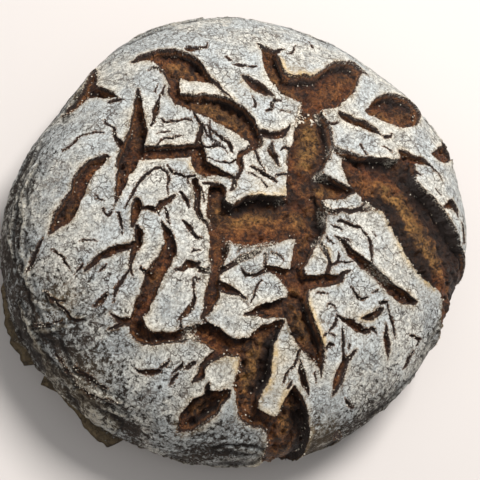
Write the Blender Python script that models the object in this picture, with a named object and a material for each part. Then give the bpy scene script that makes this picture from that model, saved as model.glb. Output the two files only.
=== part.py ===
"""A round rye loaf, baked free-standing on a hearth, resting on its flat underside.

The origin is the middle of the underside, +Z is up and the front of the loaf faces -Y. The loaf is one
solid: a low crown with an uneven round outline, a belly low on its side, and a thin foot where the dough
spread on the hearth. Its floured skin burst in the oven, and the cracks between the plates of skin are
cut from it with tubes that follow the crown.
"""

import math

import bmesh
import bpy
from mathutils import Vector

MM = 0.001

# The whole loaf.
HEIGHT = 80 * MM
BELLY_HEIGHT = 24 * MM  # the widest ring is this far above the underside
CROWN_POWER = 2.3  # power of the superellipse from the belly to the top: 2 would be an ellipse
UNDERSIDE_SHARE = 0.93  # radius of the underside, as a share of the widest radius
OUTLINE_RADII = tuple(r * MM for r in (122, 126, 122, 121, 118, 111, 118, 121, 119, 116, 114, 114))
SWELL_HEIGHT = 0.9 * MM  # how far the skin rises and falls between plates

# The foot: a thin lip of dough that ran out on the hearth, in two lobes.
FOOT_HEIGHT = 5 * MM
FOOT_LOBES = ((198, 16, 10 * MM), (232, 12, 11 * MM))  # direction in degrees, spread in degrees, reach

# Fineness of the skin, and of the tubes that cut the cracks.
STEPS_AROUND = 72
CROWN_RINGS = 20
SIDE_RINGS = 5
TUBE_RESOLUTION = 4  # 12 sides
TIP_SHARE = 0.16  # width of a crack at a closed tip, as a share of its full width
TAPER_SHARE = 0.34  # the share of its length over which a crack closes towards a tip

# Each crack: half its width, its depth, whether it closes to a tip at its start and at its end, and the
# plan points that it passes over, all in millimetres. A point outside the outline lies that far down
# the side. Cracks that run into one another stay open where they meet.
CRACKS = {
    "left_spear": (4.6, 4.5, True, True, ((-60, 52), (-61, 30), (-65, 12), (-70, -8))),
    "left_bar": (3.7, 4.0, False, False, ((-63, 18), (-48, 19), (-33, 19))),
    "left_pocket": (3.4, 4.0, False, True, ((-33, 21), (-32, 12), (-23, 10), (-15, 7))),
    "left_bean": (4.4, 4.0, True, True, ((-73, 17), (-85, 4), (-91, -11), (-98, -21))),
    "left_rim_star": (4.0, 3.5, True, True, ((-77, 78), (-82, 58), (-69, 51))),
    "top_left_gash": (7.4, 6.0, True, True, ((-62, 73), (-48, 76), (-36, 68), (-20, 54))),
    "top_left_link": (2.8, 4.0, False, False, ((-45, 66), (-43, 50))),
    "upper_diagonal": (7.6, 6.5, True, True, ((-46, 52), (-31, 47), (-16, 41), (-5, 24))),
    "top_gash": (5.2, 6.0, True, False, ((-1, 90), (5, 80), (7, 68), (16, 61))),
    "upper_bay": (10.5, 7.5, False, True, ((14, 61), (29, 61), (42, 73), (60, 83))),
    "upper_trunk": (10.0, 7.0, False, False, ((25, 46), (23, 30), (18, 14))),
    "lower_trunk": (8.6, 6.5, False, True, ((18, 16), (18, -4), (19, -16), (14, -34))),
    "trunk_leaf": (5.8, 5.5, False, True, ((20, 8), (31, 7), (45, 8))),
    "middle_bay": (11.0, 7.0, True, False, ((-26, -4), (-18, -14), (-4, -12), (14, -9))),
    "right_gash": (15.5, 7.5, True, True, ((36, 27), (58, 16), (82, -4), (101, -38))),
    "right_gash_spur": (3.0, 4.0, False, True, ((72, 26), (80, 33), (90, 33), (98, 28))),
    "right_leaf": (9.6, 5.5, True, True, ((54, 55), (66, 58), (79, 64), (92, 67))),
    "right_rim_star": (4.0, 3.5, True, True, ((92, 39), (103, 43), (112, 48))),
    "upper_right_slit": (2.8, 3.5, True, True, ((38, 50), (50, 46), (62, 42))),
    "left_column": (4.3, 5.0, False, True, ((-22, -14), (-23, -30), (-25, -45), (-29, -58))),
    "long_elbow": (3.8, 5.0, True, True, ((-48, -15), (-44, -27), (-53, -46), (-59, -61))),
    "elbow_foot": (3.0, 4.5, False, True, ((-58, -60), (-54, -67), (-44, -67), (-33, -66))),
    "lower_left_gash": (4.6, 5.5, True, False, ((-35, -64), (-22, -66), (-12, -70), (-2, -70))),
    "star_to_trunk": (3.4, 5.0, True, False, ((0, -34), (8, -37), (15, -44))),
    "star_right_arm": (3.4, 4.5, False, True, ((14, -41), (27, -38), (39, -32))),
    "star_left_arm": (4.4, 5.0, True, False, ((-11, -56), (0, -54), (14, -50))),
    "star_lower_arm": (6.2, 6.5, False, True, ((14, -42), (16, -57), (23, -68), (29, -80))),
    "lower_trough": (7.4, 7.0, True, False, ((9, -58), (-2, -68), (-4, -80), (-6, -92), (2, -101))),
    "lower_mouth": (9.6, 6.5, True, False, ((16, -84), (17, -96), (18, -110), (20, -131))),
    "lower_left_oval": (5.2, 4.5, True, True, ((-34, -104), (-25, -96), (-13, -89))),
    "right_diagonal": (3.2, 4.0, True, True, ((34, -16), (45, -26), (60, -36), (80, -41))),
    "lower_right_slit": (2.6, 3.5, True, True, ((38, -60), (39, -76), (35, -88))),
    "left_hook": (2.2, 3.5, True, True, ((-59, -17), (-60, -29), (-72, -31), (-82, -39))),
}

CRUST_BROWN = (0.13, 0.085, 0.055, 1.0)
CRUST_ROUGHNESS = 0.9


def outline_radius(angle):
    """The widest radius in a direction, on a smooth closed curve through the outline's radii."""
    count = len(OUTLINE_RADII)
    place = (angle % math.tau) / math.tau * count
    step = int(place)
    t = place - step
    a, b, c, d = (OUTLINE_RADII[(step + i - 1) % count] for i in range(4))
    return 0.5 * (2 * b + (c - a) * t + (2 * a - 5 * b + 4 * c - d) * t**2 + (3 * b - a - 3 * c + d) * t**3)


def foot_reach(angle, height):
    """How far the foot stands out in a direction, at a height above the hearth."""
    degrees = math.degrees(angle) % 360
    reach = sum(out * math.exp(-(((degrees - to) / spread) ** 2)) for to, spread, out in FOOT_LOBES)
    return reach * max(0.0, 1 - (height / FOOT_HEIGHT) ** 2)


def swell(x, y):
    """The slow rise and fall of the skin."""
    waves = math.sin(x / (17 * MM) + 1.1) * math.sin(y / (21 * MM)) + 0.6 * math.sin((x - 1.4 * y) / (13 * MM))
    return SWELL_HEIGHT * waves / 1.6


def skin_point(x, y):
    """The point of the skin over a plan point, or down the side from the belly if that lies outside."""
    angle = math.atan2(y, x)
    widest = outline_radius(angle)
    share = math.hypot(x, y) / widest
    if share <= 1:
        height = BELLY_HEIGHT + (HEIGHT - BELLY_HEIGHT) * (1 - share**CROWN_POWER) ** (1 / CROWN_POWER)
        height += swell(x, y) * (1 - share**4)
        return Vector((x, y, height))
    down = min((share - 1) * widest / BELLY_HEIGHT, 1.0)
    height = BELLY_HEIGHT * (1 - down)
    radius = widest * (1 - (1 - UNDERSIDE_SHARE) * down**2) + foot_reach(angle, height)
    return Vector((radius * math.cos(angle), radius * math.sin(angle), height))


def skin_normal(x, y):
    """Outwards from the skin at a plan point."""
    reach = 0.5 * MM
    along_x = skin_point(x + reach, y) - skin_point(x - reach, y)
    along_y = skin_point(x, y + reach) - skin_point(x, y - reach)
    return along_x.cross(along_y).normalized()


def smooth_route(points, spacing):
    """Plan points a spacing apart on a smooth curve through the given ones, with each one's share of the way."""
    ends = [2 * points[0] - points[1], *points, 2 * points[-1] - points[-2]]
    route = []
    for a, b, c, d in zip(ends, ends[1:], ends[2:], ends[3:]):
        steps = max(2, round((c - b).length / spacing))
        for i in range(steps):
            t = i / steps
            route.append(
                0.5 * (2 * b + (c - a) * t + (2 * a - 5 * b + 4 * c - d) * t**2 + (3 * b - a - 3 * c + d) * t**3)
            )
    route.append(points[-1])
    lengths = [0.0]
    for before, after in zip(route, route[1:]):
        lengths.append(lengths[-1] + (after - before).length)
    return [(point, length / lengths[-1]) for point, length in zip(route, lengths)]


def closing(share):
    """Width of a crack at a share of its taper: a tip at 0, full width at 1."""
    eased = math.sin(min(share, 1.0) * math.pi / 2)
    return TIP_SHARE + (1 - TIP_SHARE) * eased


def new_collection(name):
    collection = bpy.data.collections.new(name)
    bpy.context.scene.collection.children.link(collection)
    return collection


def crust_material():
    material = bpy.data.materials.new("crust")
    material.use_nodes = True
    shader = material.node_tree.nodes["Principled BSDF"]
    shader.inputs["Base Color"].default_value = CRUST_BROWN
    shader.inputs["Roughness"].default_value = CRUST_ROUGHNESS
    shader.inputs["Metallic"].default_value = 0.0
    return material


def loaf_body(collection):
    """The uncut loaf: a profile with a widest radius of one, spun round and then pushed out to the outline."""
    shape = bmesh.new()
    profile = [shape.verts.new((0, 0, 1))]
    for ring in range(1, CROWN_RINGS + 1):
        turn = math.pi / 2 * ring / CROWN_RINGS
        profile.append(shape.verts.new((math.sin(turn), 0, math.cos(turn))))
    for ring in range(1, SIDE_RINGS + 1):
        profile.append(shape.verts.new((1 + ring / SIDE_RINGS, 0, 0)))
    edges = [shape.edges.new(pair) for pair in zip(profile, profile[1:])]
    bmesh.ops.spin(
        shape,
        geom=profile + edges,
        cent=(0, 0, 0),
        axis=(0, 0, 1),
        angle=math.tau,
        steps=STEPS_AROUND,
        use_merge=True,
    )
    bmesh.ops.remove_doubles(shape, verts=shape.verts, dist=1e-5)
    for vertex in shape.verts:
        angle = math.atan2(vertex.co.y, vertex.co.x)
        widest = outline_radius(angle)
        share = math.hypot(vertex.co.x, vertex.co.y)
        # Beyond 1 the profile's radius counts down the side, from the belly to the underside.
        reach = widest * share if share <= 1 + 1e-6 else widest + (share - 1) * BELLY_HEIGHT
        vertex.co = skin_point(reach * math.cos(angle), reach * math.sin(angle))
    rim = [edge for edge in shape.edges if edge.is_boundary]
    bmesh.ops.contextual_create(shape, geom=rim)
    bmesh.ops.recalc_face_normals(shape, faces=shape.faces)
    mesh = bpy.data.meshes.new("loaf")
    shape.to_mesh(mesh)
    shape.free()
    loaf = bpy.data.objects.new("loaf", mesh)
    loaf.data.materials.append(crust_material())
    collection.objects.link(loaf)
    return loaf


def crack_cutter(name, crack, collection):
    """A tube whose lower side is the crack's floor: it lies over a wide crack and sinks into a narrow one."""
    half_width, depth, starts_in_tip, ends_in_tip, waypoints = crack
    points = [Vector((x * MM, y * MM)) for x, y in waypoints]
    route = smooth_route(points, max(4.5 * MM, half_width * MM * 0.8))
    curve = bpy.data.curves.new(name, "CURVE")
    curve.dimensions = "3D"
    curve.bevel_depth = 1.0
    curve.bevel_resolution = TUBE_RESOLUTION
    curve.use_fill_caps = True
    spline = curve.splines.new("POLY")
    spline.points.add(len(route) - 1)
    for place, (point, share) in zip(spline.points, route):
        open_share = closing(share / TAPER_SHARE) if starts_in_tip else 1.0
        open_share = min(open_share, closing((1 - share) / TAPER_SHARE) if ends_in_tip else 1.0)
        wide = half_width * MM * open_share
        deep = depth * MM * open_share**0.6
        radius = (wide**2 + deep**2) / (2 * deep)
        middle = skin_point(*point) + (radius - deep) * skin_normal(*point)
        place.co = (*middle, 1.0)
        place.radius = radius
    guide = bpy.data.objects.new(name, curve)
    bpy.context.scene.collection.objects.link(guide)
    bpy.context.view_layer.update()
    mesh = bpy.data.meshes.new_from_object(guide.evaluated_get(bpy.context.evaluated_depsgraph_get()))
    welded = bmesh.new()
    welded.from_mesh(mesh)
    bmesh.ops.remove_doubles(welded, verts=welded.verts, dist=1e-6)
    bmesh.ops.recalc_face_normals(welded, faces=welded.faces)
    welded.to_mesh(mesh)
    welded.free()
    cutter = bpy.data.objects.new("cut_" + name, mesh)
    cutter.matrix_world = guide.matrix_world
    bpy.data.objects.remove(guide, do_unlink=True)
    cutter.hide_render = True
    cutter.display_type = "WIRE"
    collection.objects.link(cutter)


for leftover in list(bpy.data.objects):
    bpy.data.objects.remove(leftover, do_unlink=True)

loaf = loaf_body(new_collection("rye_loaf"))
cutters = new_collection("crack_cutters")
for crack_name, crack_sizes in CRACKS.items():
    crack_cutter(crack_name, crack_sizes, cutters)
cracks = loaf.modifiers.new("cracks", "BOOLEAN")
cracks.operation = "DIFFERENCE"
cracks.solver = "EXACT"
cracks.operand_type = "COLLECTION"
cracks.collection = cutters
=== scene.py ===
import itertools
import math

import bmesh
import bpy
import numpy as np
from mathutils import Matrix, Vector


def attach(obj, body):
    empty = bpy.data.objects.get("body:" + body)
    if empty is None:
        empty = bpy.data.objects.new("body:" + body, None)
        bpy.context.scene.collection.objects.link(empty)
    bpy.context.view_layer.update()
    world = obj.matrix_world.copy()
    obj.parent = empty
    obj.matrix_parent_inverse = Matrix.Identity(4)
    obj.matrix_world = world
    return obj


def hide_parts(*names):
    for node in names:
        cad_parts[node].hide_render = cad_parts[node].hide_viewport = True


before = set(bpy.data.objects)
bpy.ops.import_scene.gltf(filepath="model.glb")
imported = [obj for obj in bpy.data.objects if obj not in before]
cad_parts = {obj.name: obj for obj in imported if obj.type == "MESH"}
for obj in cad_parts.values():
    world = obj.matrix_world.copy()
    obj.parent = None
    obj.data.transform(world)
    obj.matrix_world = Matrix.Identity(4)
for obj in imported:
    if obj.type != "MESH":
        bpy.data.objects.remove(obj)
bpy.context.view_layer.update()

MM = 0.001

# ---------------------------------------------------------------------------------------------------------
# The loaf: sourdough rye proofed in a cane basket, turned out with its floured skin up, and baked on a
# hearth. The skin dried and burst in the oven: floured plates stand over cracks of dark, torn crust.
# One closed skin, from a flat grid wrapped over the crown and down the side to the flat underside, cut in
# two pieces: the crown, and the side with the underside.
# ---------------------------------------------------------------------------------------------------------
HEIGHT = 80.0  # all sizes of the loaf are in millimetres until its mesh is finished
BELLY_HEIGHT = 24.0
CROWN_POWER = 2.3
UNDERSIDE_SHARE = 0.93
OUTLINE_RADII = np.array((122, 126, 122, 121, 118, 111, 118, 121, 119, 116, 114, 114), float)
MEAN_RADIUS = float(OUTLINE_RADII.mean())
FOOT_HEIGHT = 5.0
# The flange at the foot on the left: how far it reaches out in each direction, with a notch near 216.
FOOT_DEGREES = (176, 195, 205, 213.6, 215.2, 217.6, 219.4, 224, 232, 240.5, 243, 256)
FOOT_REACH = (0, 8, 11, 10.5, 3.4, 2.8, 9.2, 5.0, 8.0, 11.8, 4.0, 0)


def catmull(a, b, c, d, t):
    """A smooth curve from b to c, which a and d lead into."""
    return 0.5 * (2 * b + (c - a) * t + (2 * a - 5 * b + 4 * c - d) * t**2 + (3 * b - a - 3 * c + d) * t**3)


def outline_radius(angle):
    """The belly's radius in each direction."""
    count = len(OUTLINE_RADII)
    place = np.mod(angle, math.tau) / math.tau * count
    step = np.floor(place).astype(int)
    a, b, c, d = (OUTLINE_RADII[(step + i - 1) % count] for i in range(4))
    return catmull(a, b, c, d, place - step)


def skin_points(plan):
    """Points of the smooth skin over plan points. Outside the outline a plan point lies down the side."""
    x, y = plan[:, 0], plan[:, 1]
    angle = np.arctan2(y, x)
    widest = outline_radius(angle)
    share = np.hypot(x, y) / widest
    crown = np.clip(share, 0, 1)
    height = BELLY_HEIGHT + (HEIGHT - BELLY_HEIGHT) * (1 - crown**CROWN_POWER) ** (1 / CROWN_POWER)
    waves = np.sin(x / 17 + 1.1) * np.sin(y / 21) + 0.6 * np.sin((x - 1.4 * y) / 13)
    height = height + 0.9 * waves / 1.6 * (1 - crown**4)
    down = np.clip((share - 1) * widest / BELLY_HEIGHT, 0, 1)
    height = np.where(share > 1, BELLY_HEIGHT * (1 - down), height)
    degrees = np.degrees(angle) % 360
    foot = np.interp(degrees, FOOT_DEGREES, FOOT_REACH)
    foot = foot * np.clip(1 - height / FOOT_HEIGHT, 0, 1) ** 1.3 * (share > 1)
    radius = np.where(share > 1, widest * (1 - (1 - UNDERSIDE_SHARE) * down**2) + foot, np.hypot(x, y))
    return np.stack((radius * np.cos(angle), radius * np.sin(angle), height), -1)


def noise(points, size, seed):
    """Smooth noise, about -1 to 1, with lumps of a size in millimetres."""
    rng = np.random.default_rng(seed)
    gradients = rng.normal(size=(256, 3))
    gradients /= np.linalg.norm(gradients, axis=1, keepdims=True)
    order = rng.permutation(256)
    place = points / size + rng.uniform(0, 50, 3)
    cell = np.floor(place).astype(int)
    part = place - cell
    fade = part**3 * (part * (part * 6 - 15) + 10)
    total = np.zeros(len(points))
    for corner in itertools.product((0, 1), repeat=3):
        at = (cell + corner) % 256
        pick = order[(order[(order[at[:, 0]] + at[:, 1]) % 256] + at[:, 2]) % 256]
        weight = np.prod(np.where(corner, fade, 1 - fade), axis=1)
        total += weight * (gradients[pick] * (part - corner)).sum(1)
    return total * 1.7


def rise(low, high, value):
    """0 below low, 1 above high, and smooth between."""
    share = np.clip((value - low) / (high - low), 0, 1)
    return share * share * (3 - 2 * share)


# Each crack: how deep it is for its width, the side on which its lip stands over it (degrees from +X, or
# None for a crack with a valley under both lips), and its middle line as (x, y, half width) points.
BIG_CRACKS = (
    (1.0, None, ((-60, 55, 0.5), (-60.3, 40, 2.7), (-60.2, 32, 4.2), (-61.5, 26, 4.5), (-63, 20, 5),
     (-65, 13, 4.8), (-66.7, 7, 3), (-67.8, 0, 1.8), (-70, -8.5, 0.3))),
    (1.0, 90, ((-62, 18.3, 3.6), (-55, 18.7, 3.9), (-48, 19.2, 3.9), (-41, 20, 3.7), (-33.5, 20.5, 3.4))),
    (1.0, 40, ((-30.6, 35.5, 0.5), (-32, 30.5, 1.2), (-32.6, 25.5, 1.6), (-32.6, 20, 3), (-32.2, 14, 3.6),
     (-29.5, 11.3, 3.7), (-24, 10.2, 2.2), (-18, 8.8, 1.2), (-15.6, 7, 0.9), (-16, 4.2, 1.1),
     (-17.4, 1.2, 0.7))),
    (1.0, 150, ((-73.5, 16.5, 0.8), (-77, 14.5, 2.8), (-81.5, 11, 3.7), (-85, 4.5, 3.6), (-86.5, -1, 3.1),
     (-89, -6.5, 3.9), (-91.5, -11.5, 4.4), (-95, -16.5, 2.4), (-98, -20.5, 0.4))),
    (1.0, 110, ((-80, 75, 1.0), (-80.5, 67, 2.4), (-81.5, 58, 3.6), (-76, 53.5, 3.2), (-70, 51, 0.8))),
    (0.9, 110, ((-81.5, 58, 3.4), (-87, 51, 2.4), (-93, 45, 1.0))),
    (0.75, 70, ((-63, 73, 0.6), (-57, 75.5, 2.6), (-50, 75.5, 5), (-43, 72, 7.9), (-37, 67.5, 7.8),
     (-31, 63.8, 4.4), (-26, 60.5, 1.8), (-20.5, 55, 0.7), (-16, 50, 0.3))),
    (0.75, 20, ((-44.8, 66, 3.4), (-44, 59, 2.8), (-43.4, 52, 3.0))),
    (0.85, 55, ((-45.5, 53.5, 1.4), (-41, 49, 3.3), (-34, 47, 4.8), (-27, 45.7, 6.8), (-19.5, 42.5, 8),
     (-13, 37.5, 7), (-8.2, 32, 5), (-5.8, 27.8, 3.5), (-6.5, 24.2, 1.8))),
    (0.6, 80, ((-4, 32, 2.2), (2, 31.4, 2.0), (7, 32.4, 1.9), (10, 35.6, 1.1), (11.3, 38.4, 0.5))),
    (1.0, 10, ((-0.8, 88.8, 0.4), (2.3, 85.6, 1.9), (5.2, 80, 4.5), (6, 73.5, 4.9), (7.5, 67.5, 5.6),
     (13, 62.5, 7.4), (19, 60.5, 8.6))),
    (0.9, 60, ((6.5, 81.5, 2.0), (9, 84.3, 1.5), (11, 86, 1.0), (13.8, 87.5, 0.3))),
    (1.1, 95, ((13, 61.5, 7.0), (20, 61, 9.6), (28, 61, 10.4), (35, 65, 9.9), (41, 72, 9.8),
     (47, 79.5, 7.2), (53, 83.8, 4.2), (59.8, 81.6, 0.4))),
    (0.9, None, ((24, 51, 5.5), (23.4, 45.5, 6.2), (24, 38.5, 9.4), (23.4, 32, 10.4), (21.8, 26, 9.6),
     (19, 20, 9.4), (17.5, 13, 8.3), (17, 6, 8.0))),
    (0.95, 0, ((17, 8, 8.0), (17.3, 0, 8.4), (19, -6, 9.6), (19.6, -12, 8.6), (18.8, -19, 5.8),
     (16.6, -26, 4.6), (14.6, -32, 3.2), (13.4, -37, 3.2))),
    (1.0, 80, ((20, 8, 6.6), (28, 7.4, 6.5), (34, 6.8, 5.0), (40, 7, 2.5), (45.3, 8, 0.4))),
    (1.1, 95, ((-23.5, 0.5, 4.2), (-24.2, -5, 4.4), (-21, -12, 7.2), (-14, -15.5, 9.4), (-5, -12.4, 12.4),
     (5, -10.6, 10.9), (14, -9, 10))),
    (0.85, 20, ((-22.5, -16, 5.4), (-22.6, -22, 4.6), (-22.8, -28, 4.3), (-23.4, -33, 3.4),
     (-24.4, -38.5, 2.6), (-24.6, -43, 2.8), (-24.9, -47, 3.3), (-26, -51, 2.9), (-27, -55, 2.0),
     (-28.9, -58.2, 0.7), (-27, -60.5, 0.5))),
    (0.95, None, ((35, 28, 1.8), (41, 25, 4.0), (49, 17, 10.2), (58, 13.6, 13.2), (68, 12, 14.6),
     (74.5, 4.5, 16), (81.5, -3, 18.6), (89, -11, 19.2), (96, -16, 16.8), (102.5, -24, 11.8),
     (107, -33, 10.2), (105.5, -41, 9), (104, -49, 4))),
    (1.05, 90, ((50, 21.6, 6.4), (58, 20.8, 7.3), (64, 21.4, 7.8), (70, 23, 7.2))),
    (0.9, None, ((103, -8, 5), (109, -17, 9.5), (110.5, -27, 9), (109, -37, 8), (107, -45, 2))),
    (0.95, 20, ((66, 19, 9), (73, 23.5, 7.2), (74.8, 28.5, 5), (74.4, 33, 3.2))),
    (0.9, 60, ((73, 34, 2.6), (79.5, 32.3, 2.3), (85, 32.9, 2.1), (89, 31.5, 1.2), (92.5, 30, 0.8),
     (97, 26, 0.4))),
    (1.0, 80, ((54, 55.3, 0.5), (60, 56.6, 4.0), (66, 58.2, 8.0), (72.5, 60.4, 10.8), (79, 63.7, 10.3),
     (85, 67, 6.4), (91, 67, 0.8))),
    (0.9, 70, ((39, 51, 0.8), (41, 49, 2.4), (47, 46.9, 2.7), (53.5, 45.4, 2.6), (58.5, 43.9, 1.7),
     (61.6, 42.4, 0.4))),
    (0.9, 90, ((92.5, 38.5, 0.8), (98, 40.2, 3.8), (103.5, 44.6, 4.6), (109, 47.2, 2.6), (115, 47.5, 0.4))),
    (0.9, 90, ((103, 45, 3.0), (104.6, 50, 1.6), (105.6, 55, 0.4))),
    (1.0, 180, ((-48.5, -15.3, 0.4), (-46.5, -20.5, 1.8), (-44.9, -25, 2.2), (-45.4, -30, 3.2),
     (-48.4, -36, 3.6), (-51.7, -42, 3.9), (-53.3, -48, 3.7), (-55.4, -54, 3.4), (-57.6, -59, 2.8),
     (-56.6, -63.5, 3.6), (-54.6, -66, 3.6))),
    (1.0, 90, ((-56, -65, 3.5), (-53, -67.3, 3.1), (-48, -67.7, 2.7), (-42, -67.1, 2.5), (-37, -66.6, 2.4),
     (-34.6, -66, 1.2))),
    (1.05, 75, ((-34.2, -64.6, 2.6), (-30, -64.6, 4.0), (-24, -66.2, 4.8), (-18.5, -69.6, 4.4),
     (-12, -70.6, 3.8), (-5.5, -70.5, 4.6))),
    (0.8, 100, ((-19.5, -73, 2.0), (-24, -76, 1.8), (-27.3, -79.3, 1.5), (-27.6, -82.3, 2.0),
     (-30.8, -85.8, 0.4))),
    (1.05, 0, ((7.8, -58.8, 1.2), (2.5, -63, 4.0), (-1.5, -68, 5.9), (-3, -74, 7.3), (-3.6, -80, 7.6),
     (-5, -86, 7.2), (-5.5, -92, 5.0), (-3, -97.5, 4.4), (4.5, -100.6, 2.9), (9.5, -102.5, 4.4),
     (15, -104, 8.8))),
    (1.1, 0, ((16, -85.8, 0.8), (16.2, -90, 3.6), (17, -95, 6.0), (18, -101, 8.2), (18.4, -107, 10.2),
     (18.8, -114, 10.8), (19.4, -124, 9.6), (19.8, -131, 8.2))),
    (1.0, None, ((-33.2, -103.8, 1.3), (-30, -100, 4.6), (-25, -96, 5.6), (-20, -92.6, 4.0),
     (-15.5, -90, 2.0), (-13.3, -88.8, 0.4))),
    (0.9, 90, ((-24, -92, 2.0), (-23.6, -88.6, 1.4), (-22.8, -86, 0.4))),
    (0.95, 80, ((-0.4, -34.4, 1.4), (5, -35.4, 2.3), (9, -37.4, 3.2), (13.5, -41, 4.4))),
    (1.0, 90, ((14.5, -37, 4.6), (15, -42, 5.2), (14.8, -46, 5.3), (14.2, -51, 5.8))),
    (0.85, 95, ((17, -40, 3.8), (24, -38.7, 2.9), (30, -37.5, 2.7), (35, -36.4, 1.8), (37.8, -33.8, 1.0),
     (40.2, -32, 0.4))),
    (1.05, 100, ((-10.6, -56.1, 0.3), (-4.8, -55, 2.0), (1, -53.5, 3.6), (7, -52.4, 4.3), (13, -50, 5.0))),
    (1.1, None, ((14, -50, 6.0), (16.6, -57, 6.4), (19.6, -63, 6.3), (23.6, -68.5, 5.0), (26.3, -73, 2.6),
     (28, -77, 1.2), (28.7, -79.8, 0.3))),
    (0.9, 50, ((33.5, -15.5, 0.5), (37.5, -18.5, 1.4), (40.5, -22.5, 2.0), (44.5, -25.8, 2.3),
     (49.5, -29, 2.8), (54.5, -32.5, 2.7), (59, -35.3, 2.8), (64, -38, 3.0), (69.5, -39.9, 3.2),
     (75.5, -40.8, 2.0), (79.6, -40.4, 0.4))),
    (0.9, None, ((38.9, -71, 0.9), (39.3, -74, 2.2), (38.4, -79, 2.8), (37.2, -83, 2.3),
     (35.3, -87.6, 0.3))),
    (0.9, 60, ((39.3, -73.5, 1.8), (42, -71.4, 1.3), (44.3, -68.8, 1.0), (45.6, -67.2, 0.4))),
    (0.9, None, ((-60, -6, 1.6), (-60.2, -10, 2.0), (-61.1, -14, 1.9), (-61.6, -18.3, 0.8))),
    (0.8, None, ((-57.3, -9.4, 1.2), (-51.5, -9.5, 1.5), (-49.3, -7.8, 1.7), (-45.5, -4.8, 1.5),
     (-42.6, -2.6, 0.5))),
    (0.9, None, ((-59.6, -17.6, 0.8), (-58.4, -21.3, 1.8), (-58.8, -25.8, 1.9), (-60.2, -29.5, 1.6),
     (-61.1, -33, 1.1), (-61.5, -37, 0.8), (-60, -40.8, 0.3))),
    (0.9, 95, ((-60.5, -26.4, 1.6), (-66, -28.5, 1.8), (-70, -30, 2.2), (-74, -31.6, 1.8),
     (-78.5, -35, 1.3), (-81.2, -38.3, 0.5))),
    (0.8, 90, ((-59, -61, 2.2), (-63, -60.5, 1.8), (-66, -59.4, 1.0), (-69.7, -57, 0.3))),
    (0.8, 90, ((-63.5, -61, 1.4), (-66.5, -63, 0.9), (-68.8, -64.2, 0.3))),
    (0.5, 60, ((-9.8, 64.6, 1.0), (-6.6, 61.4, 2.9), (-2.2, 57.8, 3.1), (3.8, 54, 0.5))),
    (0.8, None, ((3, 27.8, 0.4), (1.9, 23.5, 1.6), (4, 19.8, 1.3), (5.1, 15.8, 0.3))),
    (0.8, None, ((47, -53.5, 0.4), (51.2, -51.8, 1.5), (54.5, -50.2, 1.6), (57.3, -47.4, 1.2),
     (58.9, -46.8, 0.4))),
    (0.8, None, ((60.8, -53.5, 0.3), (61.8, -59.5, 1.5), (63, -64, 1.6), (63.8, -68.4, 0.3))),
    (0.8, None, ((18, -74.5, 0.4), (19, -80, 1.5), (21.4, -84.4, 1.5), (23.4, -88.4, 0.3))),
    (0.9, 30, ((-34, 4.8, 1.6), (-33.4, 0.5, 1.8), (-33.3, -4, 1.3), (-32.3, -10.5, 1.4), (-30, -14, 0.9),
     (-27.5, -18.5, 0.6))),
    (0.7, 90, ((-31.6, -37.6, 1.2), (-28.8, -37.5, 1.4), (-25.5, -37.2, 1.6))),
    (0.8, 100, ((-22.5, -38, 1.6), (-18.3, -35.6, 1.3), (-15, -33, 1.2), (-11.5, -30.8, 1.1),
     (-8, -29, 1.1), (-4.8, -27.2, 1.0), (-3.6, -25, 1.0))),
    (0.8, 60, ((-22.4, -43.6, 1.6), (-18.6, -45.4, 1.9), (-14.5, -46.8, 1.4), (-9, -48.7, 0.3))),
    (0.7, 60, ((26, -20.5, 1.1), (29, -24.5, 1.1), (30.8, -28, 0.9), (30.4, -31.5, 1.0), (28.4, -35, 0.7))),
    (0.7, 90, ((26.5, -3, 1.6), (31, -4, 1.6), (36, -3.2, 1.2), (41, -2.4, 1.1), (46, -1.4, 1.1),
     (52, 0.4, 0.9), (57, 1.6, 1.4))),
    (0.8, None, ((96, 10.1, 0.4), (100, 12.2, 1.5), (103.5, 14, 3.0), (105.6, 12, 2.4), (107, 9, 0.5))),
    (0.8, None, ((109.6, 6.6, 0.6), (111.6, 2.6, 1.4), (113, -2.5, 0.8))),
    (0.7, None, ((64, 41.6, 1.2), (66.4, 42.2, 1.0), (67.2, 44.3, 0.4))),
)
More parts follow.
